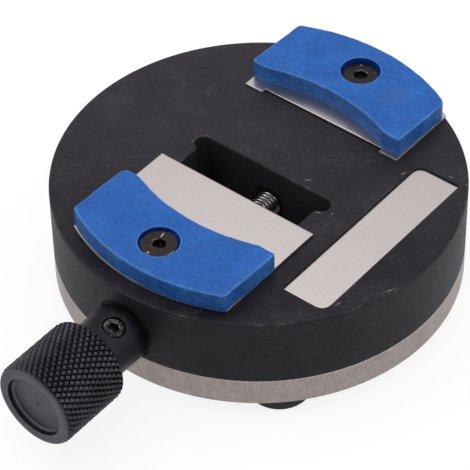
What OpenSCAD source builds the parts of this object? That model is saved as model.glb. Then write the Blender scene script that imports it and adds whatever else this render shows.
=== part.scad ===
// Round bench holder for small circuit boards.
// A black disc on a steel base carries a fixed blue jaw at the back and a moving one at the front.
// The knob turns a lead screw that lies in a pocket of the disc and drives the moving jaw's block.
// Origin on the disc's axis at bench level, +Z up, knob towards -Y, blank strip towards +X.

/* [Body] */
// Diameter of the black disc and of the steel base under it
body_d = 80; // [76:1:100]
// Thickness of the black disc
body_t = 14.7; // [13:0.1:20]
// Break of the disc's upper edge
body_edge = 0.4; // [0.2:0.1:1]

/* [Base] */
// Thickness of the steel base plate
base_t = 6; // [5:0.5:9]
// Rounding of the base plate's lower edge
base_round = 0.3; // [0.2:0.1:2]
// Distance of the base screws from the rim, measured along X
base_screw_inset = 12; // [10:0.5:14]
// Distance of the base screws from the X axis
base_screw_y = 10; // [6:0.5:12]
// Length of the base screws
base_screw_len = 12; // [10:1:14]

/* [Feet] */
// Diameter of each rubber foot
foot_d = 12.5; // [8:0.5:14]
// Height of each rubber foot
foot_h = 3.5; // [2:0.5:6]
// Rounding of the foot's sole edge
foot_round = 0.6; // [0.3:0.1:1.5]
// Distance from a foot's edge to the rim
foot_inset = 1.25; // [0.5:0.25:4]

/* [Pocket] */
// Width of the pocket that guides the slide block
pocket_w = 28.5; // [26:0.5:32]
// Wall left between the pocket and the rim on the knob side
pocket_wall = 6; // [5:0.5:8]
// How far the pocket runs past the disc's axis
pocket_past = 2.8; // [0:0.2:5]
// Radius of the cutter relief at the pocket's corners
relief_r = 1.8; // [1:0.1:2.2]
// How far the centre of that relief lies outside the pocket's side
relief_out = 0.1; // [0:0.1:0.8]

/* [Label strip] */
// Width of the blank steel strip
strip_w = 9.4; // [7:0.2:10]
// Length of the blank steel strip
strip_len = 42; // [30:1:44]
// Thickness of the strip
strip_t = 0.6; // [0.4:0.1:1]
// How far the strip's face lies below the disc's top
strip_sink = 0.4; // [0.2:0.1:0.8]
// Distance of the strip's middle line from the rim
strip_inset = 12.9; // [12:0.1:14]
// Radius of the strip's two rounded corners
strip_corner = 2; // [0.5:0.1:3]

/* [Jaws] */
// Width of each jaw
jaw_w = 37; // [30:0.5:42]
// Thickness of each jaw
jaw_t = 4; // [3.5:0.5:8]
// Depth of a jaw from its outer arc to its inner arc
jaw_band = 16; // [14:0.5:18]
// Distance of a jaw's screw from its outer arc
jaw_hole_inset = 7.7; // [7:0.1:9]
// Depth of the hollow between a jaw's two end lands
jaw_dip = 2.8; // [1:0.1:4]
// Turn of the fixed jaw about its screw
rear_jaw_turn = -2.5; // [-4:0.5:4]
// Turn of the moving jaw about its screw
front_jaw_turn = -1.5; // [-4:0.5:4]
// How far the fixed jaw's screw head lies below the jaw's top
rear_head_sink = 1; // [0.2:0.1:1.5]
// How far the moving jaw's screw head lies below the jaw's top
front_head_sink = 0.45; // [0.2:0.05:1.5]
// Length of the fixed jaw's screw
rear_screw_len = 10; // [8:1:12]

/* [Plates] */
// Width of the two steel plates under the jaws
plate_w = 37; // [34:0.5:40]
// Thickness of the plates
plate_t = 0.5; // [0.3:0.1:1]
// Length of the moving plate from its outer arc to its inner edge
front_plate_len = 30; // [26:0.5:34]
// Length of the fixed plate from the rim to the middle of its inner edge
rear_plate_len = 19.8; // [17:0.2:22]
// How far the fixed plate's two ears stand out past that edge
ear_len = 1.05; // [0.5:0.05:2]
// Width of each ear
ear_w = 4.2; // [2:0.1:6]
// Depth of the fixed plate's folded lip in the disc
lip_depth = 3; // [2:0.5:5]

/* [Slide block] */
// Length of the slide block along the screw
block_len = 16; // [14:0.5:20]
// Distance from the block's front face to the jaw screw
block_nose = 3.2; // [3:0.1:5]
// Room left in front of the block for opening further
open_room = 1.6; // [1.2:0.1:3]
// Height of the block's underside above the base plate
block_lift = 0.3; // [0.2:0.1:1]
// Diameter of the pins that keep the moving plate square
pin_d = 2; // [1.5:0.1:3]
// Length of those pins
pin_len = 6; // [4:0.5:8]
// Distance of the pins from the YZ plane
pin_x = 9; // [6:0.5:11]
// Distance of the pins behind the jaw screw
pin_back = 2.5; // [0:0.5:5]

/* [Lead screw] */
// Diameter of the lead screw
screw_d = 5; // [4.6:0.2:6.4]
// Pitch of its thread
screw_pitch = 0.8; // [0.7:0.1:1.5]
// Depth of its thread
thread_depth = 0.45; // [0.3:0.05:0.7]
// Height of the screw's axis above the base plate
screw_rise = 5.3; // [5.2:0.1:7]
// Step down from the screw to the journal at its inner end
tail_step = 0.5; // [0.3:0.1:1]
// Length of that journal in the rear bush
tail_len = 7.5; // [4:0.5:10]
// Depth of the countersink in the pocket's inner wall, behind which the rear bush starts
bush_sink = 1; // [0.5:0.1:1.5]
// Wall of the two bushes
bush_wall = 1.05; // [0.8:0.05:1.6]
// Depth of the flat that is cut into the disc's side around the screw
spot_depth = 0.8; // [0.6:0.1:1.5]
// Thickness of the retaining ring
ring_t = 0.7; // [0.5:0.1:1]
// Depth of the retaining ring's groove
groove_depth = 0.5; // [0.4:0.05:0.8]

/* [Knob] */
// Diameter of the knob's head
knob_d = 17.3; // [14:0.1:22]
// Length of the knob's head
knob_len = 15.3; // [10:0.1:20]
// Chamfer at both ends of the head
knob_edge = 0.6; // [0.3:0.1:1.2]
// Diameter of the hollow in the knob's end
dish_d = 12.4; // [8:0.1:13]
// Depth of that hollow
dish_depth = 1.2; // [0.5:0.1:3]
// Diameter of the hub between the head and the disc
hub_d = 12; // [11:0.5:14]
// Length of the hub
hub_len = 9.4; // [7:0.2:12]
// Solid left between the knob's bore and the hollow in its end
knob_end_wall = 5.2; // [2:0.2:7]
// Distance of the set screw from the hub's inner face
set_screw_back = 4.5; // [3:0.1:4.6]
// Direction of the set screw round the hub, from +X towards +Z
set_screw_turn = 70; // [0:1:180]

/* [Fasteners] */
// Diameter of the jaw, base and set screws
bolt_d = 4; // [3:0.5:4]
// Diameter of their countersunk heads
bolt_head_d = 7; // [6.6:0.1:7.4]
// Height of the straight rim of a countersunk head
bolt_head_rim = 0.25; // [0.1:0.05:0.4]
// Width across flats of their sockets
bolt_socket = 2.5; // [1.5:0.1:2.5]
// Diameter of the hole round a head in a jaw
head_hole_d = 7.7; // [7.4:0.1:9]
// Outer diameter of a threaded insert
insert_d = 5.6; // [5:0.1:7]
// Length of a threaded insert
insert_len = 7; // [5:0.5:8]

/* [Hidden] */
$fn = 96;

// Colours
black_stone = [0.15, 0.15, 0.16];
grey_steel = [0.60, 0.57, 0.55];
pale_steel = [0.80, 0.77, 0.75];
jaw_blue = [0.12, 0.35, 0.72];
black_oxide = [0.10, 0.09, 0.08];
knob_black = [0.11, 0.11, 0.12];
rubber_black = [0.07, 0.08, 0.08];
insert_brass = [0.62, 0.46, 0.25];
bush_black = [0.13, 0.13, 0.13];

// Clearances
fit_gap = 0.02;
run_gap = 0.05;
run_play = 0.1;
slide_gap = 0.15;
hub_gap = 0.3;
lay_gap = 0.1;
hole_bottom_gap = 0.5;
bolt_tip_gap = 0.55;
bolt_bottom_gap = 0.2;
over = 1;

// Heights
base_z = foot_h;
body_z = base_z + base_t;
top_z = body_z + body_t;
axis_z = body_z + screw_rise;
front_plate_z = top_z + slide_gap;
front_jaw_z = front_plate_z + plate_t;
rear_jaw_z = top_z + plate_t;

// Plan
rim_r = body_d / 2;
near_y = -(rim_r - pocket_wall);
far_y = pocket_past;
jaw_y = rim_r - jaw_hole_inset;
block_near_y = near_y + open_room;
moving_y = block_near_y + block_nose;
slide_in = jaw_y + moving_y;
rear_edge_y = rim_r - rear_plate_len;
strip_x = rim_r - strip_inset;
base_screw_x = rim_r - base_screw_inset;
foot_pos_r = rim_r - foot_inset - foot_d / 2;

// Lead screw and its bearings
journal_r = screw_d / 2;
bore_r = journal_r + run_gap;
bush_r = bore_r + bush_wall;
tail_r = journal_r - tail_step;
tail_bush_r = tail_r + run_gap + bush_wall;
far_bush_y = far_y + bush_sink;
far_hole_r = tail_bush_r + fit_gap;
tail_end_y = far_bush_y + tail_len;
spot_y = -(rim_r - spot_depth);
hub_y = -(rim_r + hub_gap);
washer_t = spot_depth + hub_gap - run_play;
washer_r = bush_r + 0.5;
ring_y = near_y + run_play;
ring_r = bush_r - 0.1;
groove_r = journal_r - groove_depth;
thread_start_y = ring_y + ring_t + 0.5;
thread_turns = floor((far_bush_y - thread_start_y) / screw_pitch);
screw_chamfer = 0.5;

// Knob
hub_r = hub_d / 2;
knob_r = knob_d / 2;
dish_r = dish_d / 2;
knob_end = hub_len + knob_len;
knob_bore = knob_end - dish_depth - knob_end_wall;
hub_edge = 0.3;
dimple_r = 0.3;
flat_r = journal_r - 0.5;
flat_len = 7;
set_screw_sink = 0.2;
set_screw_socket = bolt_socket * 0.8;

// Fasteners
bolt_r = bolt_d / 2;
bolt_hole_r = bolt_r + 0.2;
bolt_head_r = bolt_head_d / 2;
bolt_cone = bolt_head_r - bolt_r;
bolt_socket_depth = 1.5;
base_head_sink = 0.2;
insert_r = insert_d / 2;
pin_r = pin_d / 2;
pin_y = moving_y + pin_back;
front_head_z = front_jaw_z + jaw_t - front_head_sink;
front_bolt_tip_z = axis_z + bore_r + bolt_tip_gap;
rear_head_z = rear_jaw_z + jaw_t - rear_head_sink;
rear_reach = top_z - rear_head_z + rear_screw_len;
base_reach = base_z + base_head_sink + base_screw_len - body_z;

// Places the children with their Z axis along +Y, on the lead screw's axis.
module on_screw_axis(y) {
  translate([0, y, axis_z]) rotate([-90, 0, 0]) children();
}

// Places the children with their Z axis outward from the hub's inner face, X kept and Y turned up.
module on_knob() {
  translate([0, hub_y, axis_z]) rotate([90, 0, 0]) children();
}

// Places the children along the set screw, Z outward, from the screw's axis.
module on_set_screw() {
  on_knob() translate([0, 0, set_screw_back]) rotate([0, 0, set_screw_turn]) rotate([0, 90, 0]) children();
}

module at_base_screws() {
  for (sx = [-1, 1], sy = [-1, 1]) translate([sx * base_screw_x, sy * base_screw_y, 0]) children();
}

module at_pins() {
  for (sx = [-1, 1]) translate([sx * pin_x, pin_y, 0]) children();
}

// Lays a jaw, drawn around the disc's axis, at the back of the disc.
module at_rear_jaw() {
  translate([0, jaw_y, rear_jaw_z]) rotate(rear_jaw_turn) translate([0, -jaw_y, 0]) children();
}

// Lays the same jaw on the moving plate.
module at_front_jaw() {
  translate([0, moving_y, front_jaw_z]) rotate(180 + front_jaw_turn) translate([0, -jaw_y, 0]) children();
}

// Ring around Z from z = 0 up.
module ring(outer, inner, t) {
  difference() {
    cylinder(h = t, r = outer);
    translate([0, 0, -over]) cylinder(h = t + 2 * over, r = inner);
  }
}

// Disc on z = 0 with a rounded lower edge.
module round_edged_disc(r, t, edge) {
  rotate_extrude() {
    square([r - edge, t]);
    translate([0, edge]) square([r, t - edge]);
    translate([r - edge, edge]) intersection() {
      circle(edge);
      translate([0, -edge]) square([edge, edge]);
    }
  }
}

// Hexagonal socket that opens upward at z = 0.
module socket_cut(flats, depth) {
  translate([0, 0, -depth]) cylinder(h = depth + over, r = flats / sqrt(3), $fn = 6);
}

// Countersunk socket screw that hangs down from the top of its head at z = 0.
module countersunk_bolt(len) {
  difference() {
    union() {
      translate([0, 0, -bolt_head_rim]) cylinder(h = bolt_head_rim, r = bolt_head_r);
      translate([0, 0, -bolt_head_rim - bolt_cone]) cylinder(h = bolt_cone, r1 = bolt_r, r2 = bolt_head_r);
      translate([0, 0, -len]) cylinder(h = len - bolt_head_rim, r = bolt_r);
    }
    socket_cut(bolt_socket, bolt_socket_depth);
  }
}

// Cut for such a screw: its head's top lies at z = 0 and its hole runs down.
module bolt_seat_cut(hole_r, up, down) {
  translate([0, 0, -bolt_head_rim]) cylinder(h = up + bolt_head_rim, r = hole_r);
  translate([0, 0, -bolt_head_rim - bolt_cone])
    cylinder(h = bolt_cone + fit_gap, r1 = bolt_r + fit_gap, r2 = bolt_head_r + 2 * fit_gap);
  translate([0, 0, -down]) cylinder(h = down, r = bolt_hole_r);
}

// Threaded insert that hangs down from z = 0.
module threaded_insert() {
  translate([0, 0, -insert_len]) ring(insert_r, bolt_r + fit_gap, insert_len);
}

// Blind hole for an insert and a screw that reaches so far into it.
module insert_cut(reach) {
  depth = max(insert_len, reach) + hole_bottom_gap;
  translate([0, 0, -depth]) cylinder(h = depth + over, r = insert_r + fit_gap);
}

module pocket_outline() {
  translate([-pocket_w / 2, near_y]) square([pocket_w, far_y - near_y]);
  for (sx = [-1, 1], y = [near_y + relief_r, far_y - relief_r])
    translate([sx * (pocket_w / 2 + relief_out), y]) circle(relief_r);
}

// Strip with two opposite corners rounded.
module strip_outline(grow) {
  w = strip_w + 2 * grow;
  len = strip_len + 2 * grow;
  r = strip_corner + grow;
  difference() {
    square([w, len], center = true);
    translate([w / 2, -len / 2]) square(2 * r, center = true);
    translate([-w / 2, len / 2]) square(2 * r, center = true);
  }
  translate([w / 2 - r, r - len / 2]) circle(r);
  translate([r - w / 2, len / 2 - r]) circle(r);
}

// Plate that runs from the rim inward to the line y = inner_y.
module rim_plate_outline(inner_y) {
  intersection() {
    circle(rim_r);
    translate([-plate_w / 2, inner_y]) square([plate_w, rim_r]);
  }
}

// Jaw with an outer arc on the rim, a hollow inner arc of the same radius and a flat land at each end.
module jaw_outline() {
  difference() {
    intersection() {
      circle(rim_r);
      translate([-jaw_w / 2, rim_r - jaw_band - jaw_dip]) square([jaw_w, rim_r]);
    }
    translate([0, -jaw_band]) circle(rim_r);
  }
}

module jaw(head_sink) {
  color(jaw_blue) difference() {
    linear_extrude(jaw_t) jaw_outline();
    translate([0, jaw_y, jaw_t - head_sink])
      bolt_seat_cut(head_hole_d / 2, head_sink + over, jaw_t + over);
  }
}

module base_plate() {
  color(grey_steel) difference() {
    translate([0, 0, base_z]) round_edged_disc(rim_r, base_t, base_round);
    at_base_screws() translate([0, 0, base_z + base_head_sink]) mirror([0, 0, 1])
      bolt_seat_cut(bolt_head_r + fit_gap, base_head_sink + over, base_t + over);
  }
}

module base_screws() {
  color(black_oxide) at_base_screws() translate([0, 0, base_z + base_head_sink]) mirror([0, 0, 1])
    countersunk_bolt(base_screw_len);
}

module base_inserts() {
  color(insert_brass) at_base_screws() translate([0, 0, body_z]) mirror([0, 0, 1]) threaded_insert();
}

module foot(angle) {
  color(rubber_black) rotate(angle) translate([foot_pos_r, 0, 0])
    round_edged_disc(foot_d / 2, foot_h, foot_round);
}

module holder_body() {
  color(black_stone) difference() {
    translate([0, 0, body_z]) rotate_extrude()
      polygon([[0, 0], [rim_r, 0], [rim_r, body_t - body_edge], [rim_r - body_edge, body_t], [0, body_t]]);
    translate([0, 0, body_z - over]) linear_extrude(body_t + 2 * over) pocket_outline();
    translate([strip_x, 0, top_z - strip_sink - strip_t])
      linear_extrude(strip_sink + strip_t + over) strip_outline(lay_gap);
    rear_lip_cut();
    on_screw_axis(-rim_r - over) cylinder(h = spot_depth + over, r = hub_r + hub_gap);
    on_screw_axis(-rim_r) cylinder(h = pocket_wall + over, r = bush_r + fit_gap);
    on_screw_axis(far_y - over)
      cylinder(h = over + bush_sink + tail_len + hole_bottom_gap, r = far_hole_r);
    on_screw_axis(far_y - over)
      cylinder(h = over + bush_sink, r1 = far_hole_r + bush_sink + over, r2 = far_hole_r);
    at_base_screws() translate([0, 0, body_z]) mirror([0, 0, 1]) insert_cut(base_reach);
    translate([0, jaw_y, top_z]) insert_cut(rear_reach);
  }
}

// Slot in the disc for the fixed plate's folded lip.
module rear_lip_cut() {
  w = plate_w - 2 * ear_w + 2 * lay_gap;
  translate([-w / 2, rear_edge_y - lay_gap, top_z - lip_depth - lay_gap])
    cube([w, plate_t + 2 * lay_gap, lip_depth + lay_gap + over]);
}

module label_strip() {
  color(pale_steel) translate([strip_x, 0, top_z - strip_sink - strip_t])
    linear_extrude(strip_t) strip_outline(0);
}

module rear_plate() {
  lip_w = plate_w - 2 * ear_w;
  color(pale_steel) {
    difference() {
      translate([0, 0, top_z]) linear_extrude(plate_t) {
        rim_plate_outline(rear_edge_y);
        for (x = [-plate_w / 2, plate_w / 2 - ear_w])
          translate([x, rear_edge_y - ear_len]) square([ear_w, ear_len + over]);
      }
      translate([0, jaw_y, top_z - over]) cylinder(h = plate_t + 2 * over, r = bolt_hole_r);
    }
    translate([-lip_w / 2, rear_edge_y, top_z - lip_depth]) cube([lip_w, plate_t, lip_depth + plate_t]);
  }
}

module rear_jaw() {
  at_rear_jaw() jaw(rear_head_sink);
}

module rear_jaw_screw() {
  color(black_oxide) translate([0, jaw_y, rear_head_z]) countersunk_bolt(rear_screw_len);
}

module rear_jaw_insert() {
  color(insert_brass) translate([0, jaw_y, top_z]) threaded_insert();
}

module front_bush() {
  color(bush_black) on_screw_axis(spot_y) ring(bush_r, bore_r, near_y - spot_y);
}

module rear_bush() {
  color(bush_black) on_screw_axis(far_bush_y)
    ring(tail_bush_r, tail_r + run_gap, tail_len + hole_bottom_gap);
}

module thrust_washer() {
  color(bush_black) on_screw_axis(spot_y - washer_t) ring(washer_r, bore_r, washer_t);
}

// Half outline of the thread, one groove and one crest for each turn.
function thread_points() = [
  for (i = [0 : thread_turns - 1])
    for (p = [[0, 0], [1, 0.3125], [1, 0.4375], [0, 0.75]])
      [journal_r - thread_depth * (1 - p[0]), thread_start_y + screw_pitch * (i + p[1])]
];

module lead_screw() {
  start_y = hub_y - knob_bore + hole_bottom_gap;
  thread_end_y = thread_start_y + screw_pitch * thread_turns;
  color(grey_steel) difference() {
    on_screw_axis(0) rotate_extrude() polygon(concat(
      [[0, start_y], [journal_r - screw_chamfer, start_y], [journal_r, start_y + screw_chamfer],
       [journal_r, ring_y - fit_gap], [groove_r, ring_y - fit_gap],
       [groove_r, ring_y + ring_t + fit_gap], [journal_r, ring_y + ring_t + fit_gap],
       [journal_r, thread_start_y - screw_pitch / 4]],
      thread_points(),
      [[tail_r, thread_end_y], [tail_r, tail_end_y - screw_chamfer],
       [tail_r - screw_chamfer, tail_end_y], [0, tail_end_y]]
    ));
    on_set_screw() translate([-flat_len, -flat_len / 2, flat_r])
      cube([2 * flat_len, flat_len, journal_r]);
  }
}

module retaining_ring() {
  color(grey_steel) on_screw_axis(ring_y) difference() {
    ring(ring_r, groove_r + fit_gap, ring_t);
    translate([-groove_r / 2, 0, -over]) cube([groove_r, ring_r + over, ring_t + 2 * over]);
  }
}

module knob() {
  color(knob_black) difference() {
    on_knob() rotate_extrude() polygon([
      [0, 0], [hub_r - hub_edge, 0], [hub_r, hub_edge], [hub_r, hub_len],
      [knob_r - knob_edge, hub_len], [knob_r, hub_len + knob_edge],
      [knob_r, knob_end - knob_edge], [knob_r - knob_edge, knob_end],
      [dish_r, knob_end], [dish_r, knob_end - dish_depth], [0, knob_end - dish_depth]
    ]);
    on_knob() translate([0, 0, -over]) cylinder(h = knob_bore + over, r = journal_r + fit_gap);
    on_knob() translate([0, 0, knob_end - dish_depth - dimple_r]) cylinder(h = dish_depth, r = dimple_r);
    on_set_screw() cylinder(h = hub_r + over, r = bolt_r + fit_gap);
    on_set_screw() translate([0, 0, hub_r - set_screw_sink])
      cylinder(h = 2 * set_screw_sink, r1 = bolt_r + fit_gap, r2 = bolt_r + 2 * set_screw_sink);
  }
}

module knob_set_screw() {
  tip_z = flat_r + fit_gap;
  head_z = hub_r - set_screw_sink;
  color(black_oxide) on_set_screw() difference() {
    rotate_extrude() polygon([
      [0, tip_z], [bolt_r - screw_chamfer, tip_z], [bolt_r, tip_z + screw_chamfer],
      [bolt_r, head_z - screw_chamfer], [bolt_r - screw_chamfer, head_z], [0, head_z]
    ]);
    translate([0, 0, head_z]) socket_cut(set_screw_socket, bolt_socket_depth);
  }
}

module slide_block() {
  w = pocket_w - 2 * slide_gap;
  color(grey_steel) difference() {
    translate([-w / 2, block_near_y, body_z + block_lift])
      cube([w, block_len, front_plate_z - body_z - block_lift]);
    on_screw_axis(block_near_y - over) cylinder(h = block_len + 2 * over, r = bore_r);
    on_screw_axis(block_near_y - over)
      cylinder(h = ring_t + 2 * hole_bottom_gap + over, r = ring_r + hole_bottom_gap);
    translate([0, moving_y, front_bolt_tip_z - bolt_bottom_gap])
      cylinder(h = front_plate_z - front_bolt_tip_z + bolt_bottom_gap + over, r = bolt_r + fit_gap);
    at_pins() translate([0, 0, front_jaw_z - pin_len - hole_bottom_gap])
      cylinder(h = pin_len + over, r = pin_r + fit_gap);
  }
}

module front_plate() {
  color(pale_steel) translate([0, 0, front_plate_z]) difference() {
    linear_extrude(plate_t) translate([0, slide_in]) rotate(180) rim_plate_outline(rim_r - front_plate_len);
    translate([0, moving_y, -over]) cylinder(h = plate_t + 2 * over, r = bolt_hole_r);
    at_pins() translate([0, 0, -over]) cylinder(h = plate_t + 2 * over, r = pin_r + fit_gap);
  }
}

module front_plate_pins() {
  color(grey_steel) at_pins() translate([0, 0, front_jaw_z - pin_len]) cylinder(h = pin_len, r = pin_r);
}

module front_jaw() {
  at_front_jaw() jaw(front_head_sink);
}

module front_jaw_screw() {
  color(black_oxide) translate([0, moving_y, front_head_z])
    countersunk_bolt(front_head_z - front_bolt_tip_z);
}

base_plate();
base_screws();
base_inserts();
foot(-45);  // foot_front_right
foot(45);  // foot_rear_right
foot(135);  // foot_rear_left
foot(225);  // foot_front_left
holder_body();
label_strip();
rear_plate();
rear_jaw();
rear_jaw_screw();
rear_jaw_insert();
front_bush();
rear_bush();
thrust_washer();
lead_screw();
retaining_ring();
knob();
knob_set_screw();
slide_block();
front_plate();
front_plate_pins();
front_jaw();
front_jaw_screw();
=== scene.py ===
"""Looks of the circuit board holder: its pieces, materials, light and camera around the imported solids.

Pieces are drawn in millimetres in the solids' own frame and written to Blender in metres.
"""

import math

import bpy
import numpy as np
from mathutils import Matrix, Vector, kdtree
from mathutils.geometry import delaunay_2d_cdt


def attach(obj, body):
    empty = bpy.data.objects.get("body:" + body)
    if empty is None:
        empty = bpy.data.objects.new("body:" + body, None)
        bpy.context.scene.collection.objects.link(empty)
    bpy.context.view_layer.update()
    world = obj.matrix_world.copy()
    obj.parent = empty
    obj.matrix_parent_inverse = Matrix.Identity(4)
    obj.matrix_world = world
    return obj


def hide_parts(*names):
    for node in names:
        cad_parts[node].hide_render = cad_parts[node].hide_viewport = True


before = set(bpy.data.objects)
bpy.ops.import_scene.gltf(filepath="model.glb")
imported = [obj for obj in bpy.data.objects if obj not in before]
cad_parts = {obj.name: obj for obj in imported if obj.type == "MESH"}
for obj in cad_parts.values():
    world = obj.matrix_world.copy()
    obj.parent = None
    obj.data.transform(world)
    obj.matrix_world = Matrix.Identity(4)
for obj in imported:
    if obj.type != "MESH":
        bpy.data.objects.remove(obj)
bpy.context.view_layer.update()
scene = bpy.context.scene
MM = 0.001

# Sizes and places of the solids.
RIM = 40.0
BASE_Z = 3.5
BODY_Z = 9.5
TOP_Z = 24.2
STRIP_Z = 23.2
AXIS_Z = 14.8
HUB_Y = -40.3
REAR_Y = 32.3
FRONT_Y = -29.2
SHEET = 0.5
PLATE_X = 18.5
PLATE_LIFT = 0.15
LIP_X = 14.3
JAW_TALL = 4.0
REAR_JAW_Z = TOP_Z + SHEET
FRONT_JAW_Z = TOP_Z + PLATE_LIFT + SHEET
REAR_TOP = REAR_JAW_Z + JAW_TALL
FRONT_TOP = FRONT_JAW_Z + JAW_TALL
REAR_SINK = 1.0
FRONT_SINK = 0.45
REAR_HEAD = REAR_TOP - REAR_SINK
FRONT_HEAD = FRONT_TOP - FRONT_SINK
BASE_SCREWS = [(x, y) for x in (-28, 28) for y in (-10, 10)]


# Outlines in the plane

def arc(cx, cy, r, a0, a1, step=0.5):
    """Points on an arc, its angles in degrees."""
    n = max(2, math.ceil(abs(math.radians(a1 - a0)) * r / step))
    t = np.radians(np.linspace(a0, a1, n + 1))
    return np.stack([cx + r * np.cos(t), cy + r * np.sin(t)], 1)


def line(p, q, step=0.6):
    """Points on a straight line."""
    p, q = np.array(p, float), np.array(q, float)
    n = max(1, math.ceil(np.linalg.norm(q - p) / step))
    return p + (q - p) * np.linspace(0, 1, n + 1)[:, None]


def circle(cx, cy, r, n=64):
    """Closed loop of n points."""
    t = np.linspace(0, 2 * math.pi, n, endpoint=False)
    return np.stack([cx + r * np.cos(t), cy + r * np.sin(t)], 1)


def trim(path, a, b):
    """A path without its first a and last b millimetres."""
    d = np.r_[0, np.cumsum(np.linalg.norm(np.diff(path, axis=0), axis=1))]
    inner = d[(d > a + 1e-6) & (d < d[-1] - b - 1e-6)]
    s = np.r_[a, inner, d[-1] - b]
    return np.stack([np.interp(s, d, path[:, k]) for k in (0, 1)], 1)


def outline(paths, cuts):
    """Closed loop of paths laid end to end, with the corner at the end of path i rounded off by cuts[i]."""
    kept = [trim(path, cuts[i - 1], cuts[i]) for i, path in enumerate(paths)]
    t = np.linspace(0, 1, 9)[1:-1, None]
    loop = []
    for i, path in enumerate(kept):
        if cuts[i] == 0:
            loop.append(path[:-1])
            continue
        start, corner, end = path[-1], paths[i][-1], kept[(i + 1) % len(kept)][0]
        loop.append(path)
        loop.append((1 - t) ** 2 * start + 2 * t * (1 - t) * corner + t ** 2 * end)
    return np.concatenate(loop)


def wound(loop, anticlockwise):
    """The loop, run round the asked way."""
    x, y = loop[:, 0], loop[:, 1]
    area = (x * np.roll(y, -1) - np.roll(x, -1) * y).sum()
    return loop if (area > 0) == anticlockwise else loop[::-1]


def sideways(loop):
    """For each point, the step to the loop's left that moves both its edges by one."""
    e = np.roll(loop, -1, 0) - loop
    e = e / np.linalg.norm(e, axis=1)[:, None]
    n = np.stack([-e[:, 1], e[:, 0]], 1)
    before = np.roll(n, 1, 0)
    return (n + before) / np.maximum(1 + (n * before).sum(1), 0.3)[:, None]


def inset(loop, d):
    """The loop moved d to its left, which is into the material."""
    return loop + d * sideways(loop) if d else loop


def uneven(loop, amount):
    """The loop with the slight waviness of a sawn edge."""
    d = np.linalg.norm(np.roll(loop, -1, 0) - loop, axis=1)
    s = np.r_[0, np.cumsum(d)[:-1]] / d.sum() * 2 * math.pi
    wave = sum(np.sin(k * s + 1.7 * k) for k in (9, 14, 23, 37)) / 4
    return loop + amount * wave[:, None] * sideways(loop)


def inside(points, loops):
    """Which points lie in the area that the loops bound."""
    x, y = points[:, 0], points[:, 1]
    hit = np.zeros(len(points), bool)
    for loop in loops:
        for (ax, ay), (bx, by) in zip(loop, np.roll(loop, -1, 0)):
            if ay != by:
                hit ^= ((ay > y) != (by > y)) & (x < ax + (y - ay) * (bx - ax) / (by - ay))
    return hit


# Meshes

class Shape:
    """Points and faces of one piece, in millimetres."""

    def __init__(self):
        self.points = []
        self.faces = []
        self.kinds = []

    def ring(self, points):
        """Adds points and gives their numbers."""
        first = len(self.points)
        self.points.extend(map(tuple, points))
        return np.arange(first, len(self.points))

    def level(self, loop, z):
        """Adds a loop at one height."""
        return self.ring(np.c_[loop, np.full(len(loop), z)])

    def face(self, numbers, kind):
        self.faces.append([int(i) for i in numbers])
        self.kinds.append(kind)

    def band(self, upper, lower, kind, split=None):
        """Wall between two rings; split says for each quad which of its diagonals to crease."""
        n = max(len(upper), len(lower))
        for i in range(n):
            j = (i + 1) % n
            if len(upper) == 1:
                self.face((upper[0], lower[i], lower[j]), kind)
            elif len(lower) == 1:
                self.face((upper[i], lower[0], upper[j]), kind)
            elif split is None:
                self.face((upper[i], lower[i], lower[j], upper[j]), kind)
            elif split[i]:
                self.face((upper[i], lower[i], lower[j]), kind)
                self.face((upper[i], lower[j], upper[j]), kind)
            else:
                self.face((upper[i], lower[i], upper[j]), kind)
                self.face((lower[i], lower[j], upper[j]), kind)

    def cap(self, rings, up, kind, rows=()):
        """Fills the flat area between rings, with further rows of points along its edges."""
        loops = [np.array([self.points[i][:2] for i in ring]) for ring in rings]
        z = self.points[rings[0][0]][2]
        edge = kdtree.KDTree(sum(map(len, loops)))
        for i, p in enumerate(np.concatenate(loops)):
            edge.insert((*p, 0), i)
        edge.balance()
        extra = [np.zeros((0, 2))]
        for d in rows:
            for loop in loops:
                p = inset(loop, d)
                far = np.array([edge.find((*q, 0))[2] for q in p])
                extra.append(p[(far > 0.8 * d) & inside(p, loops)])
        extra = np.concatenate(extra)
        numbers = np.r_[np.concatenate(rings), self.level(extra, z)]
        points = np.concatenate(loops + [extra])
        edges = []
        first = 0
        for loop in loops:
            n = len(loop)
            edges += [(first + i, first + (i + 1) % n) for i in range(n)]
            first += n
        made, _, tris, source, _, _ = delaunay_2d_cdt([Vector(p) for p in points], edges, [], 0, 1e-6)
        made = np.array([tuple(v) for v in made])
        tris = np.array(tris)
        corner = made[tris]
        keep = inside(corner.mean(1), loops)
        a, b = corner[:, 1] - corner[:, 0], corner[:, 2] - corner[:, 0]
        area = a[:, 0] * b[:, 1] - a[:, 1] * b[:, 0]
        for tri, cross in zip(tris[keep], area[keep]):
            ids = [numbers[source[v][0]] for v in tri]
            self.face(ids if (cross > 0) == up else ids[::-1], kind)

    def make(self, name, materials, move=None, sharp=34):
        """Makes the Blender object, after moving the points by a matrix if one is given."""
        points = np.array(self.points)
        if move is not None:
            move = np.array(move)
            points = points @ move[:3, :3].T + move[:3, 3]
        mesh = bpy.data.meshes.new(name)
        mesh.from_pydata((points * MM).tolist(), [], self.faces)
        mesh.polygons.foreach_set("material_index", self.kinds)
        for material in materials:
            mesh.materials.append(material)
        piece = bpy.data.objects.new(name, mesh)
        scene.collection.objects.link(piece)
        shade(mesh, sharp)
        return piece


def shade(mesh, sharp):
    """Smooth shading with creases where faces meet at more than the given angle."""
    mesh.update()
    mesh.shade_smooth()
    mesh.set_sharp_from_angle(angle=math.radians(sharp))


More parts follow.
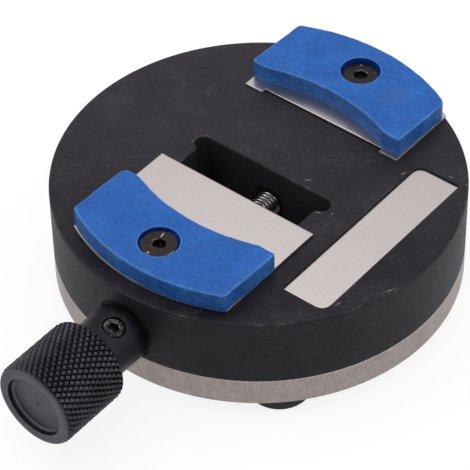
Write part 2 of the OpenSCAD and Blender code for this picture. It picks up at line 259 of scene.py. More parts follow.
def rounded(top, bottom, top_r, bottom_r, rows=(0.4, 1.0, 2.2)):
    """Side of a plate from top to bottom as (inset, height), with rounded edges."""
    turn = np.radians(np.linspace(0, 90, 4))
    side = [(top_r * (1 - math.sin(t)), top - top_r * (1 - math.cos(t))) for t in turn]
    high, low = top - top_r, bottom + bottom_r
    rows = [d for d in rows if 2 * d < high - low - 0.1]
    side += [(0, high - d) for d in rows]
    side += [(0, low + d) for d in rows[::-1]]
    side += [(bottom_r * (1 - math.sin(t)), bottom + bottom_r * (1 - math.cos(t))) for t in turn[::-1]]
    return side


def plate(outer, side, holes=(), rows=(0.3, 0.8, 2.0), kinds=(0, 1, 0)):
    """Plate with a flat top and underside. A hole is its loop, its side, whether it goes through and its material."""
    top_kind, side_kind, under_kind = kinds
    shape = Shape()
    tops, unders = [], []
    borders = [(wound(outer, True), side, True, side_kind)]
    borders += [(wound(loop, False), *rest, side_kind)[:4] for loop, *rest in holes]
    for loop, profile, through, kind in borders:
        rings = [shape.level(inset(loop, d), z) for d, z in profile]
        for upper, lower in zip(rings, rings[1:]):
            shape.band(upper, lower, kind)
        tops.append(rings[0])
        if through:
            unders.append(rings[-1])
        else:
            shape.cap([rings[-1][::-1]], True, kind)
    shape.cap(tops, True, top_kind, rows)
    shape.cap(unders, False, under_kind)
    return shape


def turned(profile, n, kind=0):
    """Turned shape around Z, its profile run from the top's middle over the outside to the underside's middle."""
    shape = Shape()
    rings = [shape.level(circle(0, 0, r, n) if r else np.zeros((1, 2)), z) for r, z in profile]
    for upper, lower in zip(rings, rings[1:]):
        shape.band(upper, lower, kind)
    return shape


def cut(piece, cutters, sharp=34):
    """Takes the cutters out of a piece."""
    for cutter in cutters:
        step = piece.modifiers.new("cut", "BOOLEAN")
        step.object = cutter
        step.solver = "EXACT"
    done = bpy.data.meshes.new_from_object(piece.evaluated_get(bpy.context.evaluated_depsgraph_get()))
    piece.modifiers.clear()
    old = piece.data
    name = old.name
    piece.data = done
    bpy.data.meshes.remove(old)
    done.name = name
    for cutter in cutters:
        mesh = cutter.data
        bpy.data.objects.remove(cutter)
        bpy.data.meshes.remove(mesh)
    shade(done, sharp)


def mark_edges(piece, least=18):
    """Keeps each point's distance to the nearest edge of the piece, in millimetres, for wear along edges."""
    mesh = piece.data
    co = np.empty(len(mesh.vertices) * 3)
    mesh.vertices.foreach_get("co", co)
    co = co.reshape(-1, 3) / MM
    normal = np.array([p.normal for p in mesh.polygons])
    owner = np.repeat(np.arange(len(mesh.polygons)), [p.loop_total for p in mesh.polygons])
    of_loop = np.empty(len(mesh.loops), int)
    mesh.loops.foreach_get("edge_index", of_loop)
    order = np.argsort(of_loop, kind="stable")
    same = np.nonzero(np.diff(of_loop[order]) == 0)[0]
    bend = (normal[owner[order[same]]] * normal[owner[order[same + 1]]]).sum(1)
    samples = []
    for e in of_loop[order[same[bend < math.cos(math.radians(least))]]]:
        a, b = co[list(mesh.edges[e].vertices)]
        n = math.ceil(np.linalg.norm(b - a) / 0.3)
        samples.append(a + (b - a) * np.linspace(0, 1, n + 1)[:, None])
    samples = np.concatenate(samples)
    tree = kdtree.KDTree(len(samples))
    for i, p in enumerate(samples):
        tree.insert(p, i)
    tree.balance()
    mesh.attributes.new("edge", "FLOAT", "POINT").data.foreach_set("value", [tree.find(p)[2] for p in co])


# Materials

class Paint:
    """Node material. Sizes are in millimetres."""

    def __init__(self, name, metallic=0.0, specular=0.5):
        self.material = bpy.data.materials.new(name)
        self.material.use_nodes = True
        self.nodes = self.material.node_tree.nodes
        self.nodes.clear()
        self.shader = self.node("BsdfPrincipled", {"Metallic": metallic, "Specular IOR Level": specular})
        self.node("OutputMaterial", {"Surface": self.shader.outputs[0]})
        self.place = self.node("TexCoord").outputs["Object"]

    def node(self, kind, inputs=None, **settings):
        node = self.nodes.new("ShaderNode" + kind)
        for key, value in settings.items():
            setattr(node, key, value)
        for key, value in (inputs or {}).items():
            if isinstance(value, bpy.types.NodeSocket):
                self.material.node_tree.links.new(value, node.inputs[key])
            else:
                node.inputs[key].default_value = value
        return node

    def spread(self, size, turn=0.0):
        """Position in steps of the given lengths along axes that are turned about Z."""
        size = [s * MM for s in (size if isinstance(size, tuple) else (size, size, size))]
        return self.node("Mapping", {"Vector": self.place, "Rotation": (0, 0, math.radians(turn)), "Scale": size},
                         vector_type="TEXTURE").outputs[0]

    def noise(self, size, turn=0.0, detail=3.0, rough=0.5):
        inputs = {"Vector": self.spread(size, turn), "Scale": 1.0, "Detail": detail, "Roughness": rough}
        return self.node("TexNoise", inputs).outputs[0]

    def flecks(self, size, share, radius):
        """Small round spots in a share of cells of the given size."""
        cells = self.node("TexVoronoi", {"Vector": self.spread(size), "Scale": 1.0})
        chance = self.node("SeparateColor", {0: cells.outputs["Color"]}).outputs[0]
        spot = self.span(cells.outputs["Distance"], radius, radius * 0.4)
        return self.calc("MULTIPLY", spot, self.span(chance, 1 - share, 1 - share * 0.6))

    def span(self, value, low, high, to_low=0.0, to_high=1.0):
        inputs = {0: value, 1: low, 2: high, 3: to_low, 4: to_high}
        return self.node("MapRange", inputs, interpolation_type="SMOOTHSTEP").outputs[0]

    def calc(self, operation, a, b=0.0):
        return self.node("Math", {0: a, 1: b}, operation=operation).outputs[0]

    def blend(self, amount, a, b):
        a, b = [(*c, 1.0) if isinstance(c, tuple) else c for c in (a, b)]
        return self.node("Mix", {0: amount, 6: a, 7: b}, data_type="RGBA").outputs[2]

    def stored(self, name):
        return self.node("Attribute", attribute_name=name).outputs["Fac"]

    def marks(self, places):
        """One on short tapering marks given as (x, y, z, length, width, turn)."""
        found = 0.0
        for x, y, z, length, width, turn in places:
            lie = {"Vector": self.place, "Location": (x * MM, y * MM, z * MM), "Rotation": (0, 0, math.radians(turn)),
                   "Scale": (length / 2 * MM, width / 2 * MM, 0.2 * MM)}
            lie = self.node("Mapping", lie, vector_type="TEXTURE").outputs[0]
            far = self.node("VectorMath", {0: lie}, operation="LENGTH").outputs["Value"]
            found = self.calc("MAXIMUM", found, self.span(far, 1.1, 0.5))
        return found

    def worn(self, reach, raggedness=1.0):
        """One along the piece's edges, fading out raggedly at the given distance."""
        rag = self.calc("MULTIPLY", self.noise(0.9, detail=4), raggedness * reach)
        return self.span(self.calc("ADD", self.stored("edge"), rag), reach * 1.2, reach * 0.35)

    def finish(self, colour, roughness, height=None, depth=0.02):
        links = self.material.node_tree.links
        links.new(colour, self.shader.inputs["Base Color"])
        links.new(roughness, self.shader.inputs["Roughness"])
        if height is not None:
            bump = self.node("Bump", {"Height": height, "Distance": depth * MM, "Strength": 1.0})
            links.new(bump.outputs[0], self.shader.inputs["Normal"])
        return self.material


def body_black(name, shades, scuffs, painted_sheen, depth, worked=(), scars=()):
    """Charcoal composite with scuffs, each a size and a turn, pale dust, chipped edges and a few deep scars.

    Scuffs and grit are thick in the worked areas.
    The painted sheen is the specular level at the back on the left and that at the front on the right: a painted
    reflection, brighter at the back and dimmer at the front.
    """
    p = Paint(name)
    # Painted reflection: the specular level runs from the back on the left to the front on the right.
    along = p.node("VectorMath", {0: p.place, 1: (0.64, -0.77, 0)}, operation="DOT_PRODUCT").outputs["Value"]
    p.material.node_tree.links.new(p.span(along, -30 * MM, 36 * MM, *painted_sheen), p.shader.inputs["Specular IOR Level"])
    p.shader.inputs["Specular Tint"].default_value = (1.0, 0.95, 0.99, 1.0)
    cloud = p.noise(11.0, detail=4)
    fine = p.noise(0.45, detail=3)
    handled = p.span(p.stored("edge"), 6.0, 0.5, 0.40, 1.0)
    busy = p.marks(worked) if worked else 0.0
    colour = p.blend(p.span(cloud, 0.35, 0.7), *shades)
    height = p.calc("MULTIPLY", fine, 0.5)
    for i, (size, turn) in enumerate(scuffs):
        streak = p.noise(size, turn, detail=3, rough=0.65)
        patch = p.calc("MULTIPLY", p.span(p.noise(4.2 + 0.9 * i, detail=3), 0.50, 0.64), handled)
        patch = p.calc("MAXIMUM", patch, p.calc("MULTIPLY", busy, 0.8))
        scuff = p.calc("MULTIPLY", p.span(streak, 0.54, 0.70), patch)
        colour = p.blend(p.calc("MULTIPLY", scuff, 0.50), colour, (0.085, 0.081, 0.086))
        height = p.calc("ADD", height, p.calc("MULTIPLY", streak, 0.3))
    rubbed = p.span(p.noise(5.0, detail=3), 0.50, 0.62)
    near = p.calc("MULTIPLY", p.span(p.stored("edge"), 1.3, 0.1), rubbed)
    gritty = p.calc("MAXIMUM", p.calc("MULTIPLY", rubbed, handled), busy)
    grit = p.calc("MULTIPLY", p.span(p.noise(0.5, detail=4, rough=0.8), 0.52, 0.70), gritty)
    dust = p.calc("MULTIPLY", p.flecks(1.3, 0.14, 0.13), p.calc("MAXIMUM", p.span(cloud, 0.42, 0.58), busy))
    chips = p.calc("MULTIPLY", p.flecks(0.6, 0.40, 0.30), near)
    colour = p.blend(p.calc("MULTIPLY", grit, 0.30), colour, (0.075, 0.071, 0.076))
    bare = p.calc("MULTIPLY", p.calc("MULTIPLY", p.worn(0.5, 1.6), rubbed), 0.40)
    colour = p.blend(bare, colour, (0.14, 0.135, 0.135))
    colour = p.blend(p.calc("MULTIPLY", dust, 0.50), colour, (0.22, 0.21, 0.20))
    colour = p.blend(p.calc("MULTIPLY", chips, 0.60), colour, (0.26, 0.25, 0.245))
    if scars:
        ragged = p.calc("MULTIPLY", p.marks(scars), p.span(p.noise(0.35, detail=3), 0.36, 0.56))
        colour = p.blend(p.calc("MULTIPLY", ragged, 0.80), colour, (0.36, 0.345, 0.335))
    return p.finish(colour, p.span(fine, 0.3, 0.7, 0.46, 0.60), height, depth)


def turned_steel(name, dark, light, lines, nicked=None):
    """Ground steel with fine lines, brighter edges and short bright marks between two heights."""
    p = Paint(name, metallic=1.0)
    grain = p.noise(lines, detail=4, rough=0.7)
    cloud = p.noise(5.0, detail=4)
    fine = p.noise(0.5, detail=3)
    colour = p.blend(p.span(grain, 0.30, 0.70), dark, light)
    colour = p.blend(p.calc("MULTIPLY", p.span(cloud, 0.45, 0.75), 0.30), colour, tuple(0.72 * c for c in dark))
    colour = p.blend(p.calc("MULTIPLY", p.span(fine, 0.5, 0.75), 0.22), colour, tuple(1.35 * c for c in light))
    colour = p.blend(p.calc("MULTIPLY", p.worn(0.22), 0.40), colour, (0.58, 0.54, 0.51))
    if nicked:
        height = p.calc("DIVIDE", p.node("SeparateXYZ", {0: p.place}).outputs[2], MM)
        marks = p.span(p.noise((0.16, 0.16, 1.1), detail=2), 0.60, 0.70)
        marks = p.calc("MULTIPLY", marks, p.span(p.noise(6.0, detail=2), 0.40, 0.60))
        marks = p.calc("MULTIPLY", marks, p.span(height, *nicked))
        colour = p.blend(p.calc("MULTIPLY", marks, 0.65), colour, (0.66, 0.62, 0.60))
    return p.finish(colour, p.span(grain, 0.3, 0.7, 0.40, 0.56), grain, 0.010)


def pale_plate(name, turn):
    """Pale brushed sheet steel."""
    p = Paint(name, metallic=1.0)
    brush = p.noise((7.0, 0.09, 0.09), turn, detail=4, rough=0.6)
    cloud = p.noise(9.0, detail=3)
    specks = p.flecks(2.4, 0.12, 0.10)
    colour = p.blend(p.span(brush, 0.25, 0.75), (0.424, 0.387, 0.379), (0.434, 0.396, 0.388))
    colour = p.blend(p.calc("MULTIPLY", p.span(cloud, 0.4, 0.7), 0.25), colour, (0.402, 0.369, 0.364))
    colour = p.blend(p.calc("MULTIPLY", specks, 0.35), colour, (0.24, 0.22, 0.21))
    colour = p.blend(p.calc("MULTIPLY", p.worn(0.12), 0.4), colour, (0.58, 0.55, 0.54))
    return p.finish(colour, p.span(brush, 0.3, 0.7, 0.265, 0.295), brush, 0.0008)


def jaw_blue(name, sawn):
    """Blue nylon: the top is grimy and scuffed, the sawn sides are rough, with pale fibres and painted shade in the
    low parts of their streaks.
    """
    p = Paint(name, specular=0.22)
    cloud = p.noise(6.0, detail=5, rough=0.6)
    fine = p.noise(0.35, detail=3)
    mottle = p.noise(0.8, detail=5, rough=0.75)
    grime = p.span(p.noise(4.0, 50.0, detail=5, rough=0.65), 0.52, 0.74)
    if sawn:
        streak = p.noise((2.2, 2.2, 0.24), detail=4, rough=0.7)
        shades = (0.013, 0.085, 0.33), (0.028, 0.145, 0.47)
        scuff, scuffed, fuzz = 0.6, (0.085, 0.25, 0.58), 0.7
        dirt, dirty = 0.45, (0.035, 0.075, 0.17)
    else:
        streak = p.noise((2.6, 0.3, 0.3), 20.0, detail=4)
        shades = (0.010, 0.098, 0.405), (0.017, 0.136, 0.505)
        scuff, scuffed, fuzz = 0.16, (0.06, 0.22, 0.60), 0.3
        dirt, dirty = 0.26, (0.045, 0.105, 0.26)
        smudge = p.calc("MULTIPLY", p.marks(JAW_SMUDGES), p.span(mottle, 0.36, 0.60, 0.4, 1.5))
        grime = p.calc("MAXIMUM", grime, smudge)
    colour = p.blend(p.span(cloud, 0.35, 0.7), *shades)
    deep = tuple(0.62 * c for c in shades[0])
    colour = p.blend(p.calc("MULTIPLY", p.span(mottle, 0.58, 0.42), 0.38), colour, deep)
    if sawn:
        # Painted shade: darker blue where the sawn streaks run low.
        hollow = p.calc("MULTIPLY", p.span(streak, 0.48, 0.32), p.span(p.noise(2.4, detail=3), 0.38, 0.60))
        colour = p.blend(p.calc("MULTIPLY", hollow, 0.60), colour, (0.010, 0.040, 0.13))
    colour = p.blend(p.calc("MULTIPLY", p.span(mottle, 0.54, 0.72), fuzz), colour, scuffed)
    colour = p.blend(p.calc("MULTIPLY", grime, dirt), colour, dirty)
    colour = p.blend(p.calc("MULTIPLY", p.span(streak, 0.52, 0.75), scuff), colour, scuffed)
    colour = p.blend(p.calc("MULTIPLY", p.worn(0.45, 1.1), 0.50 if sawn else 0.65), colour, (0.085, 0.31, 0.72))
    burr = p.calc("MULTIPLY", p.flecks(0.55, 0.34, 0.24), p.span(p.stored("edge"), 1.1, 0.2))
    colour = p.blend(p.calc("MULTIPLY", burr, 0.55), colour, (0.26, 0.44, 0.74))
    colour = p.blend(p.calc("MULTIPLY", p.flecks(1.3, 0.12, 0.11), 0.5), colour, (0.30, 0.42, 0.62))
    colour = p.blend(p.calc("MULTIPLY", p.flecks(2.6, 0.10, 0.10), 0.5), colour, (0.03, 0.05, 0.12))
    height = p.calc("ADD", fine, streak)
    return p.finish(colour, p.span(fine, 0.3, 0.7, 0.42, 0.58), height, 0.09 if sawn else 0.015)


def black_oxide(name, dark, light, rubbed, bare=()):
    """Black-oxide steel with a brown cast, rubbed edges and bright marks: bare scratches, and small spots that are
    painted glints.
    """
    p = Paint(name, metallic=1.0)
    mottle = p.noise(0.45, detail=5, rough=0.7)
    fine = p.noise(0.12, detail=2)
    colour = p.blend(p.span(mottle, 0.35, 0.65), dark, light)
    rub = p.calc("MULTIPLY", p.worn(0.13), p.span(p.noise(0.8, detail=2), 0.48, 0.66))
    colour = p.blend(p.calc("MULTIPLY", rub, 0.5), colour, rubbed)
    # Bright marks: long thin ones are bare scratches, small round ones are painted glints.
    if bare:
        colour = p.blend(p.marks(bare), colour, (0.66, 0.65, 0.64))
    return p.finish(colour, p.span(mottle, 0.3, 0.7, 0.30, 0.46), fine, 0.01)


def anodised(name, dark, light, sheen, knurl=False):
    """Black anodised aluminium; the crests of the knurling are rubbed bright, wear that is also a painted highlight,
    and its grooves are painted dark, a painted shade.
    """
    p = Paint(name, metallic=1.0)
    cloud = p.noise(3.0, detail=3)
    fine = p.noise((0.3, 0.05, 0.3), detail=3)
    colour = p.blend(p.span(cloud, 0.3, 0.7), dark, light)
    if knurl:
        crest = p.stored("crest")
        # Painted shade: the knurling's grooves darkened towards black.
        colour = p.blend(p.span(crest, 0.28, 0.02), colour, (0.005, 0.005, 0.006))
        # Rubbed crests: wear and a painted highlight.
        rub = p.span(crest, 0.80, 1.0)
    else:
        rub = p.calc("MULTIPLY", p.worn(0.15), 0.4)
    rub = p.calc("MULTIPLY", rub, p.noise(1.6, detail=3))
    colour = p.blend(p.calc("MULTIPLY", rub, 0.5), colour, (0.16, 0.16, 0.165))
    return p.finish(colour, p.span(fine, 0.3, 0.7, sheen, sheen + 0.14), fine, 0.006)


def plain_steel(name, dark, light, size, crest=False):
    """Machined steel without marked edges; thread crests are brighter, worn bright and also a painted highlight."""
    p = Paint(name, metallic=1.0)
    grain = p.noise(size, detail=4, rough=0.6)
    colour = p.blend(p.span(grain, 0.3, 0.7), dark, light)
    if crest:
        # Brighter crests: wear and a painted highlight along the thread.
        colour = p.blend(p.span(p.stored("crest"), 0.75, 1.0), colour, (0.62, 0.60, 0.59))
    return p.finish(colour, p.span(grain, 0.3, 0.7, 0.26, 0.42), grain, 0.006)


def moulded(name, dark, light, size, specular=0.3):
    """Matte rubber or moulded polymer with a fine grain."""
    p = Paint(name, specular=specular)
    cloud = p.noise(size * 12, detail=3)
    grain = p.noise(size, detail=3)
    colour = p.blend(p.span(cloud, 0.3, 0.7), dark, light)
    colour = p.blend(p.calc("MULTIPLY", p.flecks(size * 5, 0.15, 0.15), 0.3), colour, (0.16, 0.16, 0.15))
    return p.finish(colour, p.span(grain, 0.3, 0.7, 0.58, 0.78), grain, 0.02)


BODY_SCARS = [
    (38.67, -8.64, TOP_Z, 5.45, 0.14, 64),
    (38.48, -8.93, TOP_Z, 2.92, 0.12, 57),
    (36.32, -15.89, TOP_Z, 2.45, 0.14, 64),
    (15.29, -1.2, TOP_Z, 1.68, 0.2, 19),
    (17.53, 0.05, TOP_Z, 0.45, 0.3, 38),
    (8.12, 4.78, TOP_Z, 1.85, 0.16, 60),
    (8.31, 4.84, TOP_Z, 2.05, 0.14, 4),
    (21.48, 17.46, TOP_Z, 1.61, 0.24, 76),
    (27.15, 20.92, TOP_Z, 0.59, 0.3, -4),
    (29.19, 22.11, TOP_Z, 1.25, 0.22, 11),
    (32.83, -18.17, TOP_Z, 1.78, 0.24, 73),
]
TOP_SCUFFS = [((1.9, 0.20, 0.20), 40.0), ((1.4, 0.18, 0.18), 70.0), ((1.6, 0.20, 0.20), 5.0)]
SIDE_SCUFFS = [((6.0, 6.0, 0.28), 0.0)]
CHARCOAL = (0.0095, 0.0084, 0.0122), (0.0157, 0.0142, 0.0192)
# Pocket walls: a lighter copy of the charcoal, painted light set for how the walls deep in the pocket are lit.
POCKET_PAINTED_LIGHT = (0.0165, 0.0157, 0.0190), (0.0230, 0.0217, 0.0258)
TOP_WORKED = [
    (18.6, -5.6, TOP_Z, 17.0, 8.0, 80),
    (21.9, 8.7, TOP_Z, 9.0, 4.0, 80),
    (-28.8, -21.1, TOP_Z, 12.0, 6.0, 75),
    (36.1, -11.7, TOP_Z, 12.0, 5.0, 62),
    (29.7, -25.4, TOP_Z, 13.0, 5.0, 35),
    (30.4, 22.0, TOP_Z, 10.0, 5.0, 100),
    (-20.2, 7.7, TOP_Z, 5.0, 3.0, 20),
    (-35.9, 0.8, TOP_Z, 8.0, 3.5, 50),
    (-5.5, 4.3, TOP_Z, 12.0, 3.0, 3),
    (-15.6, 5.2, TOP_Z, 5.0, 2.5, 5),
]
# The fourth argument of each is the painted sheen, back left and front right.
BODY_TOP = body_black("body_top", CHARCOAL, TOP_SCUFFS, (0.22, 0.12), 0.025, TOP_WORKED, BODY_SCARS)
BODY_SIDE = body_black("body_side", CHARCOAL, SIDE_SCUFFS, (0.18, 0.165), 0.012)
BODY_POCKET_PAINTED_LIGHT = body_black("body_pocket_painted_light", POCKET_PAINTED_LIGHT, SIDE_SCUFFS, (0.18, 0.165), 0.012)
BASE_FACE = turned_steel("base_face", (0.36, 0.325, 0.31), (0.45, 0.415, 0.40), (5.0, 0.12, 0.12))
BASE_RIM = turned_steel("base_rim", (0.235, 0.200, 0.190), (0.390, 0.345, 0.332), (0.20, 0.20, 1.6), (5.5, 8.6))
STRIP = pale_plate("strip_steel", 90.0)
FRONT_STEEL = pale_plate("front_plate_steel", 0.0)
REAR_STEEL = pale_plate("rear_plate_steel", 0.0)
# Dark steel for the sides of the sheets: painted shade along the plate edges rather than their own colour.
PLATE_EDGE_SHADE = turned_steel("plate_edge_painted_shade", (0.070, 0.062, 0.058), (0.13, 0.115, 0.108), (0.2, 0.2, 1.5))
JAW_SMUDGES = [
    (9.5, 30.4, REAR_TOP, 8.5, 6.0, 30),
    (1.0, -35.2, FRONT_TOP, 4.5, 2.6, 0),
    (-12.3, 23.9, REAR_TOP, 3.0, 2.0, 60),
    (-8.6, -22.7, FRONT_TOP, 2.4, 1.2, 40),
]
JAW_TOP = jaw_blue("jaw_top", False)
JAW_SIDE = jaw_blue("jaw_side", True)
# Dark navy for the walls of the screw holes in the jaws: painted shade inside the bores, a darker copy of the blue
# nylon.
JAW_BORE_PAINTED_SHADE = moulded("jaw_bore_painted_shade", (0.0015, 0.018, 0.120), (0.0030, 0.030, 0.180), 0.2, 0.08)
OXIDE = (0.0155, 0.0132, 0.0132), (0.039, 0.0335, 0.0325), (0.36, 0.34, 0.33)
BOLT = black_oxide("bolt_black", *OXIDE)
# Rear head: a painted glint at the socket's near edge and a short bare scratch on the far side.
REAR_BOLT = black_oxide("rear_bolt_black", *OXIDE, [
    (0.51, 31.7, REAR_HEAD, 0.5, 0.42, 16),
    (-1.68, 34.69, REAR_HEAD, 0.39, 0.2, 89),
])
# Front head: a long bare scratch on the far side, then small painted glints at the socket's edge and the head's rim.
FRONT_BOLT = black_oxide("front_bolt_black", *OXIDE, [
    (-0.97, -27.14, FRONT_HEAD, 1.49, 0.17, 101),
    (0.68, -29.72, FRONT_HEAD, 0.46, 0.42, 24),
    (-0.06, -32.19, FRONT_HEAD, 0.56, 0.2, -4),
    (-0.83, -28.83, FRONT_HEAD, 0.27, 0.22, 55),
])
GRUB = black_oxide("set_screw_black", (0.016, 0.016, 0.018), (0.040, 0.038, 0.040), (0.30, 0.29, 0.29))
HUB = anodised("hub_black", (0.0155, 0.0145, 0.0190), (0.0230, 0.0215, 0.0280), 0.36)
KNURL = anodised("knurl_black", (0.028, 0.0265, 0.0320), (0.044, 0.0415, 0.0495), 0.22, True)
# The knob's end face: a lighter copy of the black anodising, a painted reflection of the bright surroundings in
# front.
KNOB_END_PAINTED_LIGHT = anodised("knob_end", (0.068, 0.0630, 0.0745), (0.083, 0.0775, 0.0915), 0.40)
THREAD = plain_steel("thread_steel", (0.13, 0.122, 0.120), (0.26, 0.246, 0.240), (0.4, 0.1, 0.4), True)
STEEL = plain_steel("machined_steel", (0.34, 0.315, 0.30), (0.48, 0.45, 0.43), (2.0, 0.15, 0.15))
BRASS = plain_steel("insert_brass", (0.50, 0.36, 0.17), (0.66, 0.50, 0.26), (0.2, 0.2, 1.5))
POLYMER = moulded("bush_polymer", (0.014, 0.014, 0.015), (0.022, 0.022, 0.023), 0.15)
# Near-black for the walls and floor of the strip's recess: painted shade in the narrow gap round the strip.
RECESS_PAINTED_SHADE = moulded("recess_painted_shade", (0.004, 0.004, 0.005), (0.007, 0.007, 0.008), 0.2)
RUBBER = moulded("foot_rubber", (0.012, 0.014, 0.012), (0.022, 0.025, 0.021), 0.2)


def keep(piece, body, slot, *nodes, edges=True):
    """Hangs a piece on its body in place of the solids that it stands for."""
    if edges:
        mark_edges(piece)
    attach(piece, body)
    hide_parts(*nodes)


# Black disc

def pocket():
    """Pocket with a cutter relief at each corner."""
    w, near, far, r, out = 14.25, -34.0, 2.8, 1.8, 0.1
    a = math.degrees(math.acos(out / r))
    x, rise = w + out, math.sqrt(r * r - out * out)
    paths = [
        line((-x, near), (x, near)), arc(x, near + r, r, -90, 180 - a, 0.2),
        line((w, near + r + rise), (w, far - r - rise)), arc(x, far - r, r, a - 180, 90, 0.2),
        line((x, far), (-x, far)), arc(-x, far - r, r, 90, 360 - a, 0.2),
        line((-w, far - r - rise), (-w, near + r + rise)), arc(-x, near + r, r, a, 270, 0.2),
    ]
    return outline(paths, [0, 0.9, 0.9, 0, 0, 0.9, 0.9, 0])


def strip(grow):
    """Blank strip with two opposite corners rounded."""
    x0, x1, y = 22.4 - grow, 31.8 + grow, 21.0 + grow
    r = 2.0 + grow
    corner = r * 0.9
    paths = [
        line((x0, -y), (x1, -y)), line((x1, -y), (x1, y)),
        line((x1, y), (x0, y)), line((x0, y), (x0, -y)),
    ]
    return outline(paths, [corner * 1.2, 0.2, corner * 1.2, 0.2])


def box_loop(x0, y0, x1, y1):
    """Rectangle with sharp corners."""
    corners = [(x0, y0), (x1, y0), (x1, y1), (x0, y1)]
    return outline([line(p, q) for p, q in zip(corners, corners[1:] + corners[:1])], [0, 0, 0, 0])


def along_y(y):
    """Frame on the lead screw's axis with Z towards the knob, X kept and Y turned up."""
    return Matrix(((1, 0, 0, 0), (0, 0, -1, y), (0, 1, 0, AXIS_Z), (0, 0, 0, 1)))


def rod(r, top, bottom, move=None, n=72):
    """Plain round cutter; its faces take the second material."""
    return turned([(0, top), (r, top), (r, bottom), (0, bottom)], n, 1).make("cutter", [], move)


GAP = 0.1
INSERT_R = 2.82
BUSH_R = 3.12
disc = plate(circle(0, 0, RIM, 400), rounded(TOP_Z, BODY_Z, 0.4, 0.12), [
    (pocket(), rounded(TOP_Z, BODY_Z, 0.35, 0.08), True, 3),
    # The strip's recess takes the third material, the painted shade.
    (strip(GAP), [(0.1, TOP_Z), (0.03, TOP_Z - 0.03), (0, TOP_Z - 0.1), (0, STRIP_Z)], False, 2),
    (box_loop(-LIP_X - GAP, 20.1, LIP_X + GAP, 20.8), [(0, TOP_Z), (0, 21.1)], False),
    (circle(0, REAR_Y, INSERT_R), [(0, TOP_Z), (0, 16.7)], False),
]).make("body_disc", [BODY_TOP, BODY_SIDE, RECESS_PAINTED_SHADE, BODY_POCKET_PAINTED_LIGHT])
countersink = turned([(0, -2.6), (4.32, -2.6), (BUSH_R, -3.8), (0, -3.8)], 72, 1)
holes = [
    rod(6.3, 41.0, 39.2, along_y(0), 96), rod(3.62, 40.5, 33.0, along_y(0)),
    rod(BUSH_R, -1.8, -11.8, along_y(0)), countersink.make("cutter", [], along_y(0)),
]
holes += [rod(INSERT_R, 17.0, 9.0, Matrix.Translation((x, y, 0)), 40) for x, y in BASE_SCREWS]
cut(disc, holes)
keep(disc, "stand", "black_composite", "holder_body")

# Steel base and rubber feet

SCREW_HOLE = 2.2
seat = [(0.0, BODY_Z), (0.0, 5.27), (1.32, 3.95), (1.32, BASE_Z)]
base = plate(circle(0, 0, RIM, 400), rounded(BODY_Z, BASE_Z, 0.1, 0.3), [
    (circle(x, y, SCREW_HOLE, 48), seat, True) for x, y in BASE_SCREWS
]).make("steel_base", [BASE_FACE, BASE_RIM])
keep(base, "stand", "base_steel", "base_plate")

FOOT_RING = 32.5
FOOT_R = 6.25
SOLE_R = 5.65
SOLE_EDGE = 0.6
for name, angle in (("front_right", -45), ("rear_right", 45), ("rear_left", 135), ("front_left", 225)):
    turn = np.radians(np.linspace(0, 90, 7))
    neck = [(0, BASE_Z), (2.0, BASE_Z), (6.05, BASE_Z), (6.2, 3.44), (FOOT_R, 3.3), (FOOT_R, 2.2)]
    sole = [(SOLE_R + SOLE_EDGE * math.cos(t), SOLE_EDGE - SOLE_EDGE * math.sin(t)) for t in turn]
    foot = turned(neck + sole + [(2.0, 0), (0, 0)], 96)
    x, y = FOOT_RING * math.cos(math.radians(angle)), FOOT_RING * math.sin(math.radians(angle))
    foot = foot.make("rubber_foot_" + name, [RUBBER], Matrix.Translation((x, y, 0)))
    keep(foot, "stand", "foot_rubber", "foot_" + name)

# Blank strip and the two plates

blank = plate(strip(0), rounded(23.8, STRIP_Z, 0.08, 0.05)).make("blank_strip", [STRIP, STRIP])
keep(blank, "stand", "plate_steel", "label_strip")


def sheet_side(z):
    """Side of a sheet with its underside at z."""
    return rounded(z + SHEET, z, 0.06, 0.04)


def hole(x, y, r, z):
    """Plain hole through a sheet with its underside at z."""
    return (circle(x, y, r, 40), [(0, z + SHEET), (0, z)], True)


EAR_Y = 19.15
LIP_Y = 20.2
edge_a = math.degrees(math.acos(PLATE_X / RIM))
edge_y = RIM * math.sin(math.radians(edge_a))
paths = [
    arc(0, 0, RIM, edge_a, 180 - edge_a),
    line((-PLATE_X, edge_y), (-PLATE_X, EAR_Y)), line((-PLATE_X, EAR_Y), (-LIP_X, EAR_Y)),
    line((-LIP_X, EAR_Y), (-LIP_X, LIP_Y)), line((-LIP_X, LIP_Y), (LIP_X, LIP_Y)),
    line((LIP_X, LIP_Y), (LIP_X, EAR_Y)), line((LIP_X, EAR_Y), (PLATE_X, EAR_Y)),
    line((PLATE_X, EAR_Y), (PLATE_X, edge_y)),
]
rear_sheet = plate(outline(paths, [0.1, 0.15, 0.1, 0.1, 0.1, 0.1, 0.15, 0.1]), sheet_side(TOP_Z),
                   [hole(0, REAR_Y, SCREW_HOLE, TOP_Z)]).make("fixed_plate", [REAR_STEEL, PLATE_EDGE_SHADE])
lip = plate(box_loop(-LIP_X, LIP_Y, LIP_X, 20.7), [(0, TOP_Z + 0.2), (0, 21.2)]).make("lip", [REAR_STEEL, PLATE_EDGE_SHADE])
join = rear_sheet.modifiers.new("lip", "BOOLEAN")
join.operation = "UNION"
join.solver = "EXACT"
join.object = lip
cut(rear_sheet, [])
bpy.data.objects.remove(lip)
keep(rear_sheet, "stand", "plate_steel", "rear_plate")

